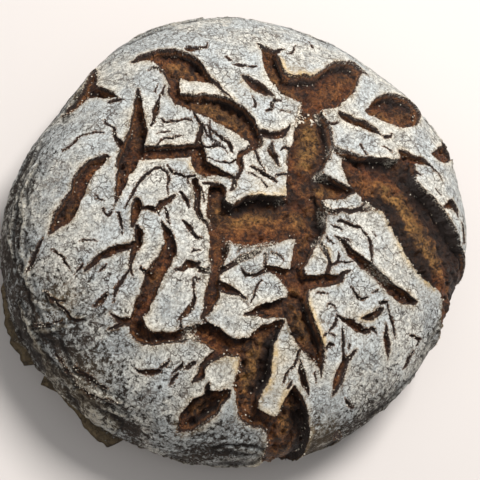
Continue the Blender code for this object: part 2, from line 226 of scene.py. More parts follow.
FINE_CRACKS = (
    ((-73.5, 47.5, 0.6), (-70.5, 49, 1), (-67, 49.6, 0.4)), ((-50.2, 51, 0.4), (-52, 44, 1.2),
    (-53.8, 34.2, 0.5)), ((-94, 23, 0.4), (-91.5, 24, 0.7), (-88, 28, 0.6), (-84, 30.5, 0.6),
    (-76, 31, 0.4)), ((-76, 38.5, 0.4), (-75, 35.5, 0.6), (-71.5, 33, 0.6), (-70.3, 27, 1),
    (-66.5, 21.5, 1.8)), ((-50, 11, 0.7), (-55, 8.4, 0.7), (-59, 4, 0.7), (-61.5, -1.5, 0.7),
    (-65, -9, 0.5)), ((-50, 11, 0.6), (-47, 9, 0.6), (-46.3, 6, 0.6), (-46.7, 1, 0.5), (-46.5, -2, 0.3)),
    ((-47, 12.5, 0.6), (-43.8, 8.6, 0.9), (-38.7, 7.3, 0.9), (-34.2, 7.6, 0.8)), ((-79, -1.5, 0.3),
    (-77, -4, 0.5), (-75, -6, 0.3)), ((-75, -9.5, 0.3), (-72.5, -13, 0.6), (-70.5, -10, 0.4)),
    ((-68.5, -11, 0.5), (-67.2, -15.5, 0.8), (-66, -22, 0.3)), ((-77.5, -24, 0.3), (-81, -23.6, 0.5),
    (-84, -23.7, 0.3)), ((-57, 67, 0.4), (-51, 67.5, 0.6), (-48.2, 63.5, 0.4)), ((-51.4, 58.5, 0.3),
    (-52.4, 53, 0.5)), ((-48.4, 56.5, 0.3), (-49.2, 51, 0.5)), ((-50, 38.3, 0.4), (-47, 36.5, 0.7),
    (-42, 37, 0.5), (-38, 38, 0.6), (-34.6, 37, 0.3)), ((-52, 30, 0.3), (-48.5, 31, 0.7), (-45.4, 31, 0.3)),
    ((-52, 23.3, 0.5), (-48.5, 26.5, 0.6), (-44, 27.5, 0.6), (-39.6, 28.8, 0.3)), ((-35, 41.5, 0.5),
    (-32.5, 37.5, 0.8), (-30, 33, 0.8), (-29, 30, 0.5), (-25.7, 25.8, 0.4)), ((-29, 35, 0.4),
    (-26, 31.5, 0.7), (-21.3, 28, 0.9), (-17.8, 26, 1.1), (-16.7, 21.8, 0.5)), ((-27, 37.5, 0.3),
    (-27.4, 30.8, 0.6), (-25.8, 27, 0.4), (-21.2, 24.6, 0.4), (-18.9, 20.8, 0.3)), ((-30.6, 23.6, 0.7),
    (-27.8, 23, 0.8), (-23.3, 24.6, 0.7), (-20.6, 22.6, 0.4)), ((-28.3, 17, 0.4), (-24, 16, 0.5),
    (-21, 15.5, 0.6), (-17.8, 15.4, 0.6), (-15.2, 17, 0.8)), ((-8.6, 23.6, 1.4), (-12.4, 20.6, 1.6),
    (-13.3, 16.6, 1.6), (-12.6, 13.2, 1.3), (-14, 9.6, 1.0), (-15.8, 6, 0.7)), ((8.3, 52.8, 0.5),
    (4.8, 52, 0.8), (3.6, 50, 0.9), (3, 46.8, 0.8), (-0.3, 45.4, 0.3)), ((-6.3, 52.7, 0.3), (-4.2, 49, 0.7),
    (-5, 47, 0.6), (-6.9, 46, 0.3)), ((7.7, 47, 0.3), (12.4, 46.7, 0.6)), ((-18.2, 77.6, 0.4),
    (-16.6, 76, 0.8), (-14.3, 76, 0.3)), ((-14, 73, 0.5), (-11.5, 72.5, 1.3), (-8.6, 72.9, 0.8)),
    ((-7.6, 72.4, 0.3), (-4.5, 72, 1.0), (-2.4, 72.6, 0.3)), ((15, 84.7, 0.3), (18.5, 88, 0.5),
    (20.6, 92, 0.3)), ((-35.4, 80.6, 2.0), (-31, 81.6, 0.9), (-27.6, 82.6, 0.6), (-26.4, 86, 0.3)),
    ((30, 99, 0.3), (30, 93, 0.7)), ((-7.6, 14.6, 0.6), (-3, 12.5, 1.0), (1.6, 10, 1.0), (4.4, 7.8, 0.6)),
    ((3.5, 11.4, 0.4), (5.5, 12, 0.6), (9.4, 12, 0.7)), ((-10, 11.4, 0.3), (-7, 11, 0.5), (-4.6, 9.6, 0.3)),
    ((-3.5, 9, 0.3), (0.2, 4.8, 0.4)), ((-6.4, 23, 0.5), (-4, 18, 0.6), (-1.2, 13.8, 0.3)), ((7, 24.6, 0.7),
    (9.5, 26.2, 1.2), (12.4, 24.8, 1.0)), ((-40.4, -1.3, 0.7), (-38, -5, 1.0), (-36.8, -8.4, 0.4)),
    ((-37.4, 5.6, 0.5), (-37, 2.3, 0.3)), ((-32, 3, 0.4), (-30.6, -1.3, 0.5), (-30, -5.4, 0.3)),
    ((-29.8, 4.2, 0.9), (-24, 4.2, 0.9)), ((-47.6, -9.4, 0.5), (-46.2, -13, 0.8), (-45.2, -16.4, 0.3)),
    ((-50.3, -9.4, 1.0), (-50.4, -12.8, 0.3)), ((-39.6, -14.4, 0.4), (-37, -17, 1.2), (-34.7, -20.5, 1.0),
    (-33.5, -22.2, 0.8), (-30.9, -22.8, 0.4)), ((-35.6, -30, 0.3), (-34, -28.4, 0.6), (-31, -28.3, 0.3)),
    ((-42, -38, 0.8), (-38.4, -37.5, 1.0), (-36.6, -34.6, 1.6), (-33, -35.2, 1.3), (-30.6, -34, 0.5)),
    ((-11.6, -35.6, 0.4), (-9.8, -38.5, 0.8), (-7.5, -38.7, 0.9), (-4, -37.4, 1.0), (-0.7, -35.5, 1.2)),
    ((-1, -27.6, 0.6), (-0.8, -31, 0.8), (-1, -34.5, 0.8)), ((2, -27, 0.4), (5.5, -28, 0.6),
    (8.2, -30, 0.3)), ((-2.5, -40, 0.3), (-4.5, -44, 0.6), (-5.7, -48, 0.5), (-8.8, -52, 0.2)),
    ((-27.3, -60, 0.4), (-23, -61.6, 0.4)), ((-34, -42, 0.4), (-32.6, -48, 0.5), (-33.2, -52.6, 1.1),
    (-35.8, -56, 1.6), (-39.4, -59.4, 0.6)), ((-38.4, -60, 0.3), (-37.6, -63.6, 0.6)), ((-33.6, -40.5, 0.4),
    (-32, -42.6, 0.6), (-30.4, -41.2, 0.3)), ((-82.5, -34.5, 0.4), (-83.7, -37, 0.8), (-86, -39, 0.3)),
    ((-72, -35.4, 0.3), (-73.6, -37.2, 0.7), (-75.2, -38.8, 0.3)), ((-62, -38, 0.5), (-64.3, -42, 0.9),
    (-66.3, -45, 0.8), (-67.7, -48.7, 0.6), (-68, -54, 0.2)), ((-71, -47.4, 0.4), (-72.5, -50, 1.2),
    (-74.5, -52.5, 1.4), (-76.4, -53.6, 0.4)), ((-57.2, -37.2, 0.6), (-54.6, -39.2, 0.9)),
    ((-56.4, -80.4, 0.3), (-53.5, -81.6, 0.9), (-50.3, -82, 1.2), (-46.8, -81.5, 1.0), (-44.6, -80.6, 0.3)),
    ((-45.6, -80, 0.5), (-43.4, -78.6, 0.7), (-41.6, -76.8, 0.4)), ((-35.4, -80.1, 0.4), (-33, -79, 1.0),
    (-30.4, -78, 0.5)), ((-35.8, -77, 0.3), (-37.5, -80, 0.9), (-40.2, -82.8, 0.3)), ((-37.4, -83.2, 0.5),
    (-38.8, -84.8, 1.0), (-40.8, -87, 0.3)), ((30, -67.6, 0.8), (32.3, -66.2, 1.1), (34.4, -66.8, 0.3)),
    ((35.5, -8, 0.7), (39, -8.3, 0.9), (43, -9.5, 0.9), (47.8, -10.6, 0.4)), ((31.8, -11, 0.4),
    (34.7, -11, 0.7), (37.4, -12.5, 0.3)), ((48, -11.6, 0.4), (50.7, -15.2, 0.9), (51.8, -18.7, 0.9),
    (52.5, -23, 0.8), (52.2, -27.4, 0.5)), ((29, -17, 0.6), (32.8, -19.6, 0.3)), ((46, -1, 0.8),
    (49.2, 2.6, 0.4)), ((38, -16.6, 0.4), (40.5, -18, 0.4)), ((30.7, -30, 0.7), (33.3, -29.5, 0.7),
    (35, -27, 0.7), (35, -23.6, 0.3)), ((35, -27.5, 0.5), (38.5, -27.9, 0.6), (41.4, -27, 0.4)),
    ((40.4, -39.8, 0.4), (44.6, -42.8, 0.9), (45.8, -44.3, 1.0), (50.6, -43.2, 0.4)), ((24.6, -43.8, 0.3),
    (27, -43.6, 0.6), (29.4, -43.8, 0.3)), ((28.8, -49.2, 0.3), (31.4, -48, 0.6), (33.6, -49.6, 0.3)),
    ((52.6, -41.2, 0.3), (54.9, -39.4, 0.7)), ((57, -45, 1.0), (60.4, -43.4, 0.7)), ((34, -52.5, 0.4),
    (37.3, -54.3, 1), (42, -55.5, 1.6), (46, -57.3, 2), (49.5, -58.5, 1.3), (52.8, -56.7, 1),
    (55, -57.2, 0.8), (57, -59, 0.3)), ((34.8, -54, 0.6), (33, -58, 0.8), (31, -60.5, 0.3)),
    ((27.6, -62.6, 0.3), (29.5, -61.5, 0.5), (33.6, -61.8, 0.3)), ((37.5, -58.7, 0.4), (38.4, -64.5, 1.0),
    (38.6, -68.5, 0.9), (38.9, -72, 1.0)), ((41.6, -63.6, 0.3), (41.8, -66.6, 0.5)), ((61.4, -43.4, 0.5),
    (63, -48, 0.7), (64.7, -52, 1.1), (66.5, -55, 0.8), (68.1, -58.9, 0.3)), ((77, -56.4, 0.4),
    (81, -56.4, 0.9), (83.2, -57, 0.9), (81.2, -60, 0.4)), ((80, -62.6, 0.4), (78, -67, 1.2),
    (75.6, -71.4, 0.4)), ((17.1, -69.4, 0.4), (16, -74.2, 0.9), (13.9, -78, 0.8)), ((12.8, -79, 0.4),
    (11.8, -80.6, 0.8), (10.8, -84.6, 0.4)), ((25, -79, 0.3), (26.4, -83, 0.4)), ((43.2, -88, 0.4),
    (45.5, -90.5, 0.9), (49.2, -91.2, 0.3)), ((44, -102, 1.4), (47.4, -103.4, 1.4)), ((14.2, -83.2, 0.3),
    (13.4, -85, 0.8), (12.2, -86.4, 0.4)), ((80.4, 25, 0.8), (84.8, 25.3, 0.3)), ((61.2, 36.2, 0.3),
    (66.8, 34.4, 0.5)), ((49, 34.6, 0.4), (50.4, 32, 0.6), (51.3, 29.6, 0.8)), ((33, 43.5, 1.2),
    (35.6, 44.2, 0.9), (38.4, 45.2, 0.4)), ((93, 19.2, 0.5), (96.2, 17.2, 0.3)), ((30.8, 21.6, 0.3),
    (32.2, 23, 0.5)), ((52.8, -11, 0.3), (55.4, -14, 0.3)), ((-12.4, -25.6, 0.3), (-14, -28.6, 0.3)),
    ((-100.4, -22, 0.4), (-104, -29, 0.9), (-105.6, -36, 0.4)), ((-96, -27, 0.3), (-91, -31.6, 0.7),
    (-88, -37, 0.3)), ((-97.6, -45.4, 0.3), (-93, -50.6, 0.6), (-88.5, -54.6, 0.6), (-84.5, -58.6, 0.6),
    (-80.4, -58.6, 0.3)), ((-93, -50.6, 0.5), (-89, -50.8, 0.3)), ((-101, -58.6, 0.3), (-96, -59.6, 0.6),
    (-90, -59, 0.3)), ((-84, -80.6, 0.4), (-78, -86, 0.7), (-71, -90.4, 0.6), (-62, -93.6, 0.3)),
    ((-90, -72, 0.4), (-84.6, -78.6, 0.6), (-80, -84, 0.3)), ((-82, -78, 0.5), (-75, -83.4, 0.8),
    (-67, -87.6, 0.4)),
)


WAY_STEP = 1.3  # distance between the points of a crack's smooth line
LEAST_HALF = 0.15
FAR_OUT = -30.0  # how far inside a crack a point counts as being, where none is near
NEAR_REACH = 15  # no look and no relief reaches farther than this from a crack


def smooth_way(route):
    """Points a short way apart on a smooth curve through a crack's points, each with its half width."""
    way = np.array(route, float)
    ends = np.vstack((2 * way[0] - way[1], way, 2 * way[-1] - way[-2]))
    pieces = []
    for a, b, c, d in zip(ends, ends[1:], ends[2:], ends[3:]):
        steps = max(1, int(np.hypot(*(c - b)[:2]) / WAY_STEP))
        pieces.append(catmull(a, b, c, d, np.arange(steps)[:, None] / steps))
    way = np.vstack((*pieces, way[-1:]))
    way[:, 2] = np.maximum(way[:, 2], LEAST_HALF)
    return way


def across_crack(plan, way):
    """For each plan point: how far it is inside the crack (negative outside), the crack's half width there,
    and the way from its middle line."""
    inside = np.full(len(plan), FAR_OUT)
    half = np.ones(len(plan))
    away = np.zeros((len(plan), 2))
    reach = way[:, 2].max() + NEAR_REACH
    low, high = way[:, :2].min(0) - reach, way[:, :2].max(0) + reach
    near = np.flatnonzero(((plan > low) & (plan < high)).all(1))
    for a, b in zip(way, way[1:]):
        run = (b - a)[:2]
        offset = plan[near] - a[:2]
        share = np.clip(offset @ run / max(run @ run, 1e-9), 0, 1)
        offset = offset - share[:, None] * run
        width = a[2] + (b[2] - a[2]) * share
        depth_in = width - np.hypot(offset[:, 0], offset[:, 1])
        better = depth_in > inside[near]
        at = near[better]
        inside[at], half[at], away[at] = depth_in[better], width[better], offset[better]
    return inside, half, away


BIG_WAYS = [(deep, side, smooth_way(route)) for deep, side, route in BIG_CRACKS]
FINE_WAYS = [smooth_way(route) for route in FINE_CRACKS]
WALL_WIDTH = 0.6  # how far a wide crack's wall runs in, from its lip to its foot
RAGGED = ((5.0, 0.75, 11), (1.9, 0.3, 13), (0.9, 0.1, 15))  # size of an edge's tears, their reach, seed
WIDE_DEPTH = 7.4  # how deep the floor of a very wide crack lies
WIDENING = 4.3  # the half width at which a floor comes to about two thirds of that


def ragged(plan):
    """Plan points pushed about, so that a crack's edge is torn and not smooth."""
    flat = np.column_stack((plan, np.zeros(len(plan))))
    moved = plan.copy()
    for size, reach, seed in RAGGED:
        moved[:, 0] += reach * noise(flat, size, seed)
        moved[:, 1] += reach * noise(flat, size, seed + 1)
    return moved


def crack_depths(plan):
    """For each plan point: how far it is inside the nearest crack and the nearest wide crack, how deep the
    floor lies there, how far it is under a lip, how much it is on the ridge along the middle of a wide
    crack, which way a lip stands over it, and the wide crack's half width."""
    torn = ragged(plan)
    inside = np.full(len(plan), FAR_OUT)
    inside_big = np.full(len(plan), FAR_OUT)
    drop = np.zeros(len(plan))
    under = np.zeros(len(plan))
    ridge = np.zeros(len(plan))
    lean = np.zeros((len(plan), 2))
    widest_half = np.zeros(len(plan))
    for deep, side, way in BIG_WAYS:
        depth_in, half, away = across_crack(torn, way)
        full = deep * WIDE_DEPTH * (1 - np.exp(-half / WIDENING))
        middle = rise(0.18, 0.85, depth_in / half) * rise(2.5, 7.0, half)
        if side is None:
            toward = np.zeros(len(plan))
            here_under = (1 - middle) * rise(1.5, 5, half)
            slope = 1 - 0.36 * middle
        else:
            direction = np.array((math.cos(math.radians(side)), math.sin(math.radians(side))))
            toward = away @ direction / half
            here_under = rise(0.1, 0.95, toward)
            slope = (0.62 + 0.38 * rise(-0.7, 0.6, toward)) * (1 - 0.22 * middle)
        wall = rise(0, np.minimum(WALL_WIDTH, 0.8 * half), depth_in)
        floor = full * slope * wall
        deeper = floor > drop
        under = np.where(deeper, here_under, under)
        ridge = np.where(deeper, middle, ridge)
        widest_half = np.where(deeper, half, widest_half)
        if side is not None:
            lean = np.where(deeper[:, None], direction * here_under[:, None], lean)
        drop = np.maximum(drop, floor)
        inside = np.maximum(inside, depth_in)
        inside_big = np.maximum(inside_big, depth_in - 1.2 * (1 - rise(0.8, 2.5, half)))
    for way in FINE_WAYS:
        depth_in, half, _ = across_crack(torn, way)
        full = 0.35 + 1.15 * half
        drop = np.maximum(drop, full * rise(-0.1, 0.55, depth_in))
        inside = np.maximum(inside, depth_in)
    return {"inside": inside, "big": inside_big, "drop": drop, "under": under, "ridge": ridge, "lean": lean,
            "half": widest_half}


# Folds: where the side was squeezed against the cane it wrinkled into thin ridges that run with the rim.
FOLD_COUNT = 54
HAND_FOLDS = (  # the ones that stand out at the lower left, as (x, y, half width)
    ((-85, -79, 0.4), (-78, -84.6, 1.2), (-71, -89, 1.3), (-60, -93.5, 0.4)),
    ((-80, -86.5, 0.4), (-74, -90.6, 1.0), (-66, -95, 1.0), (-57, -98.5, 0.4)),
    ((-76, -91.5, 1.2), (-69, -97, 2.0), (-60, -102, 1.2)),
    ((-98, -45, 0.4), (-93, -50, 1.3), (-88.5, -54, 1.3), (-84.5, -57.6, 1.1), (-80, -58.2, 0.4)),
    ((-100, -61, 0.4), (-94, -62.4, 1.0), (-88, -61, 0.4)),
    ((-105, -24, 0.4), (-106.5, -33, 1.1), (-105, -42, 0.5)),
)


def rim_folds():
    """The listed folds, then many more at random round the rim, most of them on the left."""
    rng = np.random.default_rng(61)
    ways = [(0.75, smooth_way(route)) for route in HAND_FOLDS]
    for _ in range(FOLD_COUNT):
        middle = rng.normal(215, 55) if rng.random() < 0.8 else rng.uniform(0, 360)
        span = rng.uniform(9, 30)
        beyond = rng.uniform(-9, 21)
        slant = rng.uniform(-4, 4)
        half = rng.uniform(0.4, 0.95)
        share = np.linspace(0, 1, int(span / 1.2) + 4)
        turned = np.radians(middle + (share - 0.5) * span)
        sway = 0.8 * np.sin(share * rng.uniform(4, 11) + rng.uniform(0, 6))
        radius = outline_radius(turned) + beyond + slant * (share - 0.5) + sway
        width = half * (0.25 + 0.75 * np.sin(math.pi * share) ** 0.7)
        way = np.column_stack((radius * np.cos(turned), radius * np.sin(turned), width))
        ways.append((rng.uniform(0.3, 0.8), way))
    return ways


def fold_relief(plan):
    """How high the folds stand at each plan point, and how far it is in the groove at a fold's foot."""
    bent = ragged(plan)
    high = np.zeros(len(plan))
    groove = np.zeros(len(plan))
    for tall, way in rim_folds():
        inside, half, _ = across_crack(bent, way)
        high = np.maximum(high, tall * np.sqrt(np.clip((inside + 0.3) / half, 0, 1)))
        groove = np.maximum(groove, rise(-1.6, -0.5, inside) * (1 - rise(-0.3, 0.3, inside)))
    return high, groove * (1 - rise(0.2, 0.7, high))


GRID_STEPS = 178
profile_reach = np.linspace(0, 1, 2000)
profile_height = (HEIGHT - BELLY_HEIGHT) * (1 - profile_reach**CROWN_POWER) ** (1 / CROWN_POWER)
steps_along = np.hypot(np.diff(profile_reach * MEAN_RADIUS), np.diff(profile_height))
profile_length = np.concatenate(([0.0], np.cumsum(steps_along)))
crown_length = profile_length[-1]

loaf_mesh = bmesh.new()
bmesh.ops.create_grid(loaf_mesh, x_segments=GRID_STEPS, y_segments=GRID_STEPS, size=1)
square = np.array([vert.co[:2] for vert in loaf_mesh.verts])
wide_way = np.abs(square[:, 0]) > np.abs(square[:, 1])
major = np.where(wide_way, square[:, 0], square[:, 1])
minor = np.where(wide_way, square[:, 1], square[:, 0])
turn = math.pi / 4 * minor / np.where(major == 0, 1, major)
angle = np.where(wide_way, turn, math.pi / 2 - turn) + np.where(major < 0, math.pi, 0)
length = np.abs(major) * (crown_length + BELLY_HEIGHT)
on_crown = np.interp(length, profile_length, profile_reach)
plan_radius = on_crown * outline_radius(angle) + np.clip(length - crown_length, 0, None)
for vert, radius, toward in zip(loaf_mesh.verts, plan_radius, angle):
    vert.co = (radius * math.cos(toward), radius * math.sin(toward), 0)


def refine(mesh, low, high, lines):
    """Cut in half every edge that crosses one of the lines, or lies between two distances. All are distances
    in from the edge of a crack."""
    plan = np.array([vert.co[:2] for vert in mesh.verts])
    inside = crack_depths(plan)["inside"]
    mesh.verts.index_update()
    ends = np.array([[vert.index for vert in edge.verts] for edge in mesh.edges])
    least, most = inside[ends].min(1), inside[ends].max(1)
    cut = (least > low) & (most < high)
    for line in lines:
        cut |= (least < line) & (most > line)
    edges = [edge for edge, is_cut in zip(mesh.edges, cut.tolist()) if is_cut]
    bmesh.ops.subdivide_edges(mesh, edges=edges, cuts=1, use_grid_fill=True)


def refine_rim(mesh):
    """Cut the side, and the rim on the left, once finer for the folds."""
    plan = np.array([vert.co[:2] for vert in mesh.verts])
    around = np.arctan2(plan[:, 1], plan[:, 0])
    beyond = np.hypot(plan[:, 0], plan[:, 1]) - outline_radius(around)
    left = np.cos(around - math.radians(215)) > 0.3
    close = (beyond > 0) | (left & (beyond > -11))
    mesh.verts.index_update()
    edges = [edge for edge in mesh.edges if close[edge.verts[0].index] and close[edge.verts[1].index]]
    bmesh.ops.subdivide_edges(mesh, edges=edges, cuts=1, use_grid_fill=True)


refine_rim(loaf_mesh)
refine(loaf_mesh, -1.3, 14, (0, WALL_WIDTH))
refine(loaf_mesh, -0.7, 1.2, (0, WALL_WIDTH))
plan = np.array([vert.co[:2] for vert in loaf_mesh.verts])
# Points beside a crack's edge are drawn onto it, and points on a wide crack's wall onto its foot, so that
# the lip of the plate and the foot of the wall are clean lines.
LIP_SNAP = (-0.3, 0.25)
FOOT_SNAP = 0.85
WIDE_HALF = 1.3
found = crack_depths(plan)
inside = found["inside"]
slope_x = (crack_depths(plan + (0.1, 0))["inside"] - inside) / 0.1
slope_y = (crack_depths(plan + (0, 0.1))["inside"] - inside) / 0.1
steepness = slope_x**2 + slope_y**2
at_foot = (inside >= LIP_SNAP[1]) & (inside < FOOT_SNAP) & (found["half"] > WIDE_HALF)
snapped = (((inside > LIP_SNAP[0]) & (inside < LIP_SNAP[1])) | at_foot) & (steepness > 0.25)
too_far = (inside - WALL_WIDTH * at_foot) / np.maximum(steepness, 0.25)
plan[snapped] -= too_far[snapped, None] * np.column_stack((slope_x, slope_y))[snapped]
skin = skin_points(plan)
STEP = 0.5
along_x = skin_points(plan + (STEP, 0)) - skin_points(plan - (STEP, 0))
along_y = skin_points(plan + (0, STEP)) - skin_points(plan - (0, STEP))
outward = np.cross(along_x, along_y)
outward /= np.linalg.norm(outward, axis=1, keepdims=True)
# The skin's normals at a lip and at a wall's foot lean across the crack, so that a wall is lit evenly.
across = np.column_stack((slope_x, slope_y, np.zeros(len(plan))))
across -= (across * outward).sum(1)[:, None] * outward
across /= np.maximum(np.linalg.norm(across, axis=1, keepdims=True), 1e-6)
wall_normals = np.where(at_foot[:, None], 0.45 * outward + across, outward + 0.5 * across)
wall_normals /= np.linalg.norm(wall_normals, axis=1, keepdims=True)
cracks = crack_depths(plan)
widest = outline_radius(np.arctan2(plan[:, 1], plan[:, 0]))
share_out = np.hypot(plan[:, 0], plan[:, 1]) / widest
flat = np.column_stack((plan, np.zeros(len(plan))))
in_floor = rise(0.0, 1.4, cracks["inside"]) * rise(0.4, 3.5, cracks["drop"])

# The torn crumb in the floors is lumpy and stringy, with open pores. The plates are nearly smooth, curl up
# a little at a wide crack, and sag into shallow dents.
torn_relief = 1.3 * noise(flat, 7.0, 21) + 1.2 * noise(flat, 3.4, 23) + 0.7 * noise(flat, 1.7, 25)
pores = rise(0.15, 0.5, noise(flat, 2.8, 27)) * 1.6
curl = 0.85 * rise(-4.5, -0.3, cracks["big"]) * (1 - rise(0.05, 0.4, cracks["big"]))
plate_relief = 0.7 * noise(flat, 15, 31) + 0.4 * noise(flat, 6, 33) + 0.16 * noise(flat, 2.6, 35)
shallow = 1 - 0.6 * rise(0.82, 1.02, share_out)
# The cane basket printed rings round the rim and the side, deepest on the left, where the loaf rose
# against it. Their line wanders, and bursts in the skin break them.
RING_SPACING = 6.4
degrees_round = np.degrees(np.arctan2(plan[:, 1], plan[:, 0])) % 360
beyond_rim = (share_out - 1) * widest
leftness = 0.16 + 0.84 * np.exp(-(((degrees_round - 215) / 50) ** 2))
wander = 2.4 * noise(flat, 34, 41) + 0.8 * noise(flat, 9, 43)
ring_wave = 1 - 2 * np.abs(np.sin(math.pi * (beyond_rim + wander) / RING_SPACING)) ** 0.8
ring_here = rise(-13, 1, beyond_rim) * leftness * (0.45 + 0.55 * rise(-0.3, 0.3, noise(flat, 15, 45)))
rings = ring_here * ring_wave
# Thin folds of skin run the same way, as it was squeezed against the cane.
radians_round = np.radians(degrees_round)
along_rim = np.column_stack((np.cos(radians_round) * 20, np.sin(radians_round) * 20, beyond_rim + wander))
folds = noise(along_rim, 3.0, 51) + 0.6 * noise(along_rim, 1.5, 53)
folds_here = rise(-22, 0, beyond_rim) * leftness
rim_rough = rise(-12, 4, beyond_rim) * (0.5 * noise(flat, 4.5, 47) + 0.35 * noise(flat, 2.0, 49)) * leftness
fold_high, fold_groove = fold_relief(plan)
rim_rough = rim_rough + 0.5 * folds * folds_here + 1.2 * fold_high - 0.5 * fold_groove
height = -cracks["drop"] * shallow + in_floor * (torn_relief - pores) + (1 - in_floor) * plate_relief + curl
height = height + (1 - in_floor) * (1.5 * rings + rim_rough)
edge_fade = 1 - rise(BELLY_HEIGHT - 4, BELLY_HEIGHT - 0.5, beyond_rim)
placed = skin + outward * (height * edge_fade)[:, None]
# Under a standing lip the floor runs in beneath the plate.
slide = 0.9 * rise(0.1, 0.5, cracks["inside"]) * (1 - rise(1.6, 4.0, cracks["inside"]))
placed[:, :2] += cracks["lean"] * (slide * rise(1.5, 4, cracks["drop"]) * edge_fade)[:, None]
foot_waves = 1.4 * noise(flat, 9, 55) + 0.8 * noise(flat, 4, 57)
foot_ragged = rise(BELLY_HEIGHT - 7, BELLY_HEIGHT - 1, beyond_rim) * foot_waves
placed[:, :2] *= 1 + (foot_ragged * leftness / np.hypot(placed[:, 0], placed[:, 1]))[:, None]
placed[:, 2] = np.maximum(placed[:, 2], 0)

# What the eye sees on the skin: where a floor is golden, partly painted highlight, rusty, or black, partly
# burnt and partly painted shade; where a plate's bare edge is cream, where the flour is worn off, and where
# the edges crumbled. Each spot is (x, y, radius, amount).
GOLDEN_AND_HIGHLIGHT = (
    (24, 36, 9, 1.0), (22, 26, 8, 0.7), (63, 14, 7, 0.6), (69.5, 10.5, 6, 0.8), (74.5, 3, 6, 1.0),
    (79.5, -4.5, 6, 1.0), (84.5, -10.5, 6, 1.0), (89.5, -16, 6, 1.0), (94, -21, 6, 0.8), (75, 27, 4, 0.7),
    (-15, -10, 6, 0.7), (-7, -8, 6, 0.9), (2, -5, 6, 0.7), (19, 22, 6, 0.5), (-24, -7, 6, 0.6),
    (-30, 48, 8, 0.6), (-17, 43, 8, 0.5), (-45, 66, 6, 0.7), (9, 67, 6, 0.5), (-5, -84, 7, 0.8),
    (-3, -72, 7, 0.7), (18, -60, 6, 1.0), (19, -8, 7, 0.6), (14, -45, 5, 0.5), (28, 5, 7, 0.6),
    (17, -100, 8, 0.5), (18, -122, 9, 0.7), (66, 57, 7, 0.4), (-60, 30, 5, 0.5), (-90, -8, 6, 0.5),
    (102, -38, 8, 0.7), (-50, -40, 6, 0.7), (-27, -98, 5, 0.4),
)
RUSTY = (
    (15, 20, 8, 0.9), (17, 1, 6, 0.8), (28, 61, 10, 0.8), (41, 73, 9, 0.7), (-46, -38, 6, 0.9),
    (-53, -56, 6, 0.8), (50, 20, 8, 0.7), (58, 18, 8, 0.8), (67, 18, 7, 0.6), (98, -26, 7, 0.9),
    (101.5, -34, 8, 0.9), (103, -43, 8, 0.8), (82, 33, 6, 0.5), (-12, -17, 7, 0.8), (-2, -16, 7, 0.8),
    (9, -10, 6, 0.5), (-48, 75, 8, 0.6), (72, 61, 8, 0.7), (-62, 18, 8, 0.6), (-22, -67, 7, 0.6),
    (14, -42, 6, 0.5), (-86, 5, 6, 0.6), (103, 44, 7, 0.7),
)
CREAM = (
    (-4, 6, 9, 0.8), (5, 3, 6, 0.8), (22, -53, 7, 1.0), (27, -63, 6, 0.9), (8, -74, 7, 1.0),
    (7, -88, 9, 1.0), (62, -2, 8, 0.9), (73, -18, 9, 0.9), (86, -30, 8, 0.8), (-14, -78, 6, 0.8),
    (20, 72, 9, 0.9), (14, 76, 6, 0.6), (-90, -50, 9, 0.7), (47, -56, 9, 0.8), (-14, 56, 8, 0.4),
    (-76, -84, 10, 0.5), (30, -24, 6, 0.6), (36, -102, 8, 0.6), (-36, 12, 5, 0.5),
)
BARE = (
    (-83, -50, 30, 0.36), (-58, -85, 22, 0.2), (-104, -20, 22, 0.15), (-12, -108, 20, 0.16),
    (-76, -70, 16, 0.2), (92, -46, 16, 0.3), (60, -92, 24, 0.32), (-98, 18, 18, 0.25), (30, -112, 18, 0.35),
    (-88, 60, 16, 0.2), (-68, -8, 14, 0.14), (-30, -84, 16, 0.25), (62, -60, 16, 0.12),
)
# Spots where a floor is nearly black: burnt crust, and painted shade in the deep places.
FLOOR_BURNT_AND_SHADED = (
    (-4, -3, 7, 0.5), (26, 12, 5, 0.4), (3, -74, 4, 0.8), (1, -86, 4, 0.7), (25, -100, 5, 0.6),
    (11, -98, 4, 0.7), (24, 62, 8, 0.3), (36, 68, 8, 0.25), (48, 82, 5, 0.5), (76, 66, 6, 0.6),
    (25, -10, 4, 0.8),
)
CRUMBLY = (
    (13, 20, 5, 1.0), (8, -4, 5, 0.9), (9, -12, 5, 1.0), (-12, -25, 8, 1.0), (0, -23, 7, 1.0),
    (28, -6, 5, 0.9), (27, 14, 5, 0.8), (22, 47.5, 8, 1.0), (-33, -66, 5, 1.0), (60, -34, 6, 0.8),
    (52, -30, 5, 0.6), (14, 46, 5, 0.8), (27, -20, 5, 0.7), (12, -44, 4, 0.5), (22, -74, 5, 0.6),
    (55, 1, 6, 0.8), (61, -6, 5, 0.8), (65, -14, 5, 0.8), (72, -22, 6, 0.8), (80, -28, 5, 0.8),
    (89, -29, 5, 0.6), (36, 28, 6, 0.7), (-27, -13, 3, 0.8), (-27, -36, 4, 0.6), (0, 28, 5, 0.5),
    (68, 30, 6, 0.6), (-14, -80, 6, 0.6),
)
